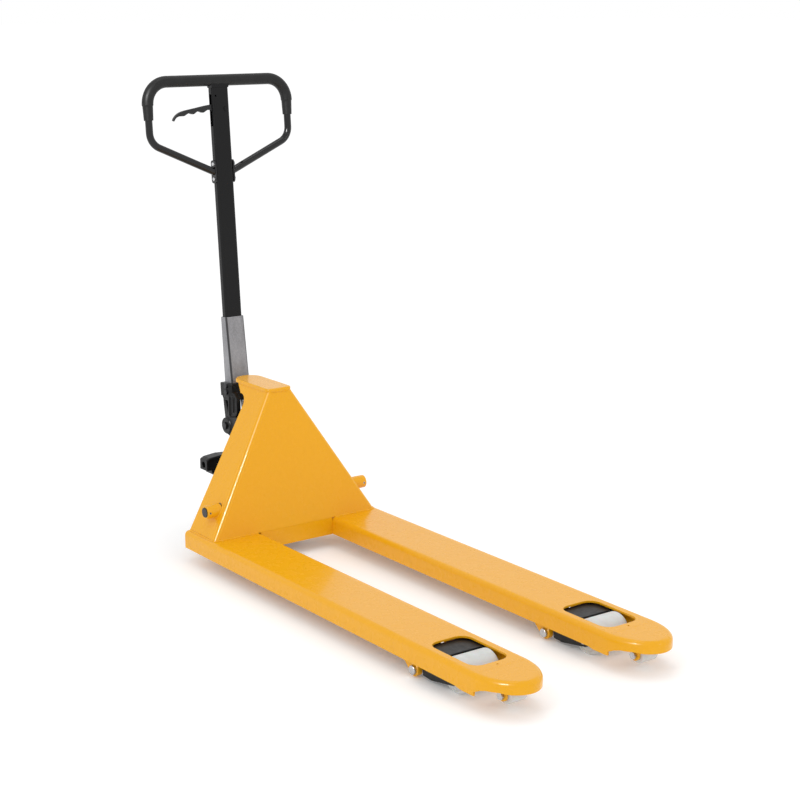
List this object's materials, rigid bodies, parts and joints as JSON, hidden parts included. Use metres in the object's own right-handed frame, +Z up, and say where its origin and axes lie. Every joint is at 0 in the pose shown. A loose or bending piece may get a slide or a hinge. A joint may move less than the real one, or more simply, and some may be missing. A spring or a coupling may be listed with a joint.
{
  "type": "pallet jack",
  "caption": "Hand pallet jack: two forks on an A-frame, steered hydraulic pump with tilting handle, and a lift linkage to nylon load rollers.",
  "frame": {"origin": "on the floor under the middle of the length, on the centre line between the forks", "axes": "+X along the forks to their tips, +Y to the operator's left, +Z up"},
  "size_m": [1.5224, 0.52, 1.2206],
  "materials": {
    "truck_paint": "gloss amber yellow stove enamel",
    "black_paint": "semi-gloss black enamel",
    "chromed_steel": "hard chromed and ground",
    "zinc_steel": "bright zinc plated",
    "bearing_steel": "ground bearing steel",
    "white_nylon": "turned white nylon",
    "wheel_rubber": "moulded black rubber",
    "wheel_metal": "cast aluminium",
    "grip_rubber": "soft matt black rubber",
    "seal_rubber": "nitrile seal",
    "lever_plastic": "moulded black nylon"
  },
  "bodies": {
    "frame": {"fork_right": "truck_paint", "fork_left": "truck_paint", "a_frame_panel": "truck_paint", "top_plate": "truck_paint", "cross_member": "truck_paint", "ram_seat": "truck_paint", "ram": "chromed_steel", "shaft_collars": "truck_paint", "rocker_shaft": "black_paint", "shaft_roll_pins": "zinc_steel", "roller_frame_lugs": "truck_paint", "roller_frame_pins": "zinc_steel", "entry_roller_lugs": "truck_paint", "entry_roller_bolts": "zinc_steel"},
    "rocker": {"rocker_arm": "black_paint", "rocker_pins": "zinc_steel"},
    "rod_right": {"push_rod_right": "black_paint"},
    "rod_left": {"push_rod_left": "black_paint"},
    "roller_frame_right": {"roller_frame_right": "black_paint", "roller_axle_right": "zinc_steel"},
    "roller_frame_left": {"roller_frame_left": "black_paint", "roller_axle_left": "zinc_steel"},
    "load_roller_right": {"load_roller_right": "white_nylon", "roller_bearings_right": "bearing_steel"},
    "load_roller_left": {"load_roller_left": "white_nylon", "roller_bearings_left": "bearing_steel"},
    "entry_roller_right": {"entry_roller_right": "white_nylon"},
    "entry_roller_left": {"entry_roller_left": "white_nylon"},
    "carrier": {"thrust_plate": "black_paint"},
    "pump": {"pump_body": "black_paint", "thrust_bearing": "bearing_steel", "gland_nut": "black_paint", "ram_wiper": "seal_rubber", "filler_plug": "zinc_steel", "release_pins": "zinc_steel", "handle_axle": "zinc_steel", "steer_axle": "zinc_steel"},
    "plunger": {"pump_plunger": "zinc_steel", "plunger_spring": "zinc_steel"},
    "release_lever": {"release_lever": "black_paint"},
    "lower_chain": {"lower_chain": "zinc_steel"},
    "steer_wheel_right": {"steer_tyre_right": "wheel_rubber", "steer_hub_right": "wheel_metal", "steer_bearings_right": "bearing_steel"},
    "steer_wheel_left": {"steer_tyre_left": "wheel_rubber", "steer_hub_left": "wheel_metal", "steer_bearings_left": "bearing_steel"},
    "handle": {"handle_base": "black_paint", "handle_socket": "black_paint", "handle_tube": "black_paint", "handle_loop": "black_paint", "handle_grip": "grip_rubber", "handle_saddle": "black_paint", "handle_bolts": "zinc_steel", "handle_pins": "zinc_steel"},
    "pressure_roller": {"pressure_roller": "bearing_steel"},
    "hand_lever": {"hand_lever": "lever_plastic"},
    "control_rod": {"control_rod": "zinc_steel", "upper_chain": "zinc_steel"}
  },
  "joints": [
    {"name": "lift", "type": "slide", "parent": "frame", "child": "carrier", "axis": [0, 0, -1], "range_m": [0, 0.12]},
    {"name": "rocker_turn", "type": "hinge", "parent": "frame", "child": "rocker", "pos_m": [-0.4424, 0, 0.1474], "axis": [0, -1, 0], "range_deg": [0, 52.4]},
    {"name": "rod_turn_right", "type": "hinge", "parent": "rocker", "child": "rod_right", "pos_m": [-0.463, -0.192, 0.10553], "axis": [0, 1, 0], "range_deg": [0, 52.4]},
    {"name": "rod_turn_left", "type": "hinge", "parent": "rocker", "child": "rod_left", "pos_m": [-0.463, 0.192, 0.10553], "axis": [0, 1, 0], "range_deg": [0, 52.4]},
    {"name": "roller_frame_turn_right", "type": "hinge", "parent": "frame", "child": "roller_frame_right", "pos_m": [0.4442, -0.185, 0.017], "axis": [0, 1, 0], "range_deg": [0, 62]},
    {"name": "roller_frame_turn_left", "type": "hinge", "parent": "frame", "child": "roller_frame_left", "pos_m": [0.4442, 0.185, 0.017], "axis": [0, 1, 0], "range_deg": [0, 62]},
    {"name": "load_roller_spin_right", "type": "hinge", "parent": "roller_frame_right", "child": "load_roller_right", "pos_m": [0.5662, -0.185, 0.04], "axis": [0, 1, 0], "continuous": true},
    {"name": "load_roller_spin_left", "type": "hinge", "parent": "roller_frame_left", "child": "load_roller_left", "pos_m": [0.5662, 0.185, 0.04], "axis": [0, 1, 0], "continuous": true},
    {"name": "entry_roller_spin_right", "type": "hinge", "parent": "frame", "child": "entry_roller_right", "pos_m": [0.6992, -0.185, 0.0375], "axis": [0, 1, 0], "continuous": true},
    {"name": "entry_roller_spin_left", "type": "hinge", "parent": "frame", "child": "entry_roller_left", "pos_m": [0.6992, 0.185, 0.0375], "axis": [0, 1, 0], "continuous": true},
    {"name": "steer", "type": "hinge", "parent": "carrier", "child": "pump", "pos_m": [-0.5788, 0, 0.206], "axis": [0, 0, 1], "range_deg": [-80, 80]},
    {"name": "steer_wheel_spin_right", "type": "hinge", "parent": "pump", "child": "steer_wheel_right", "pos_m": [-0.5788, -0.0565, 0.09], "axis": [0, 1, 0], "continuous": true},
    {"name": "steer_wheel_spin_left", "type": "hinge", "parent": "pump", "child": "steer_wheel_left", "pos_m": [-0.5788, 0.0565, 0.09], "axis": [0, 1, 0], "continuous": true},
    {"name": "handle_tilt", "type": "hinge", "parent": "pump", "child": "handle", "pos_m": [-0.6638, 0, 0.3], "axis": [0, -1, 0], "range_deg": [0, 75], "stiffness_Nm_per_rad": 25, "springref_deg": -20.05},
    {"name": "plunger_stroke", "type": "slide", "parent": "pump", "child": "plunger", "axis": [0, 0, -1], "range_m": [0, 0.02699], "deforming": ["plunger_spring"]},
    {"name": "pressure_roller_spin", "type": "hinge", "parent": "handle", "child": "pressure_roller", "pos_m": [-0.68125, 0, 0.31339], "axis": [0, 1, 0], "continuous": true},
    {"name": "hand_lever_turn", "type": "hinge", "parent": "handle", "child": "hand_lever", "pos_m": [-0.74056, 0.013, 1.13186], "axis": [-0.9971, 0, -0.0764], "range_deg": [0, 18], "stiffness_Nm_per_rad": 2, "springref_deg": -20.05},
    {"name": "control_rod_slide", "type": "slide", "parent": "handle", "child": "control_rod", "axis": [-0.0764, 0, 0.9971], "range_m": [0, 0.0075]},
    {"name": "release_lever_turn", "type": "hinge", "parent": "pump", "child": "release_lever", "pos_m": [-0.6708, 0, 0.198], "axis": [0, -1, 0], "range_deg": [0, 9]},
    {"name": "lower_chain_slide", "type": "slide", "parent": "pump", "child": "lower_chain", "axis": [0, 0, 1], "range_m": [0, 0.003]}
  ],
  "couplings": [
    {"joint": "rocker_turn", "follows": "lift", "rad_per_m": 7.6213},
    {"joint": "rod_turn_right", "follows": "lift", "rad_per_m": 7.6213},
    {"joint": "rod_turn_left", "follows": "lift", "rad_per_m": 7.6213},
    {"joint": "roller_frame_turn_right", "follows": "lift", "rad_per_m": 9.0175},
    {"joint": "roller_frame_turn_left", "follows": "lift", "rad_per_m": 9.0175},
    {"joint": "plunger_stroke", "follows": "handle_tilt", "m_per_rad": 0.020463},
    {"joint": "control_rod_slide", "follows": "hand_lever_turn", "m_per_rad": 0.021963},
    {"joint": "release_lever_turn", "follows": "hand_lever_turn", "ratio": 0.44444},
    {"joint": "lower_chain_slide", "follows": "hand_lever_turn", "m_per_rad": 0.00573}
  ]
}
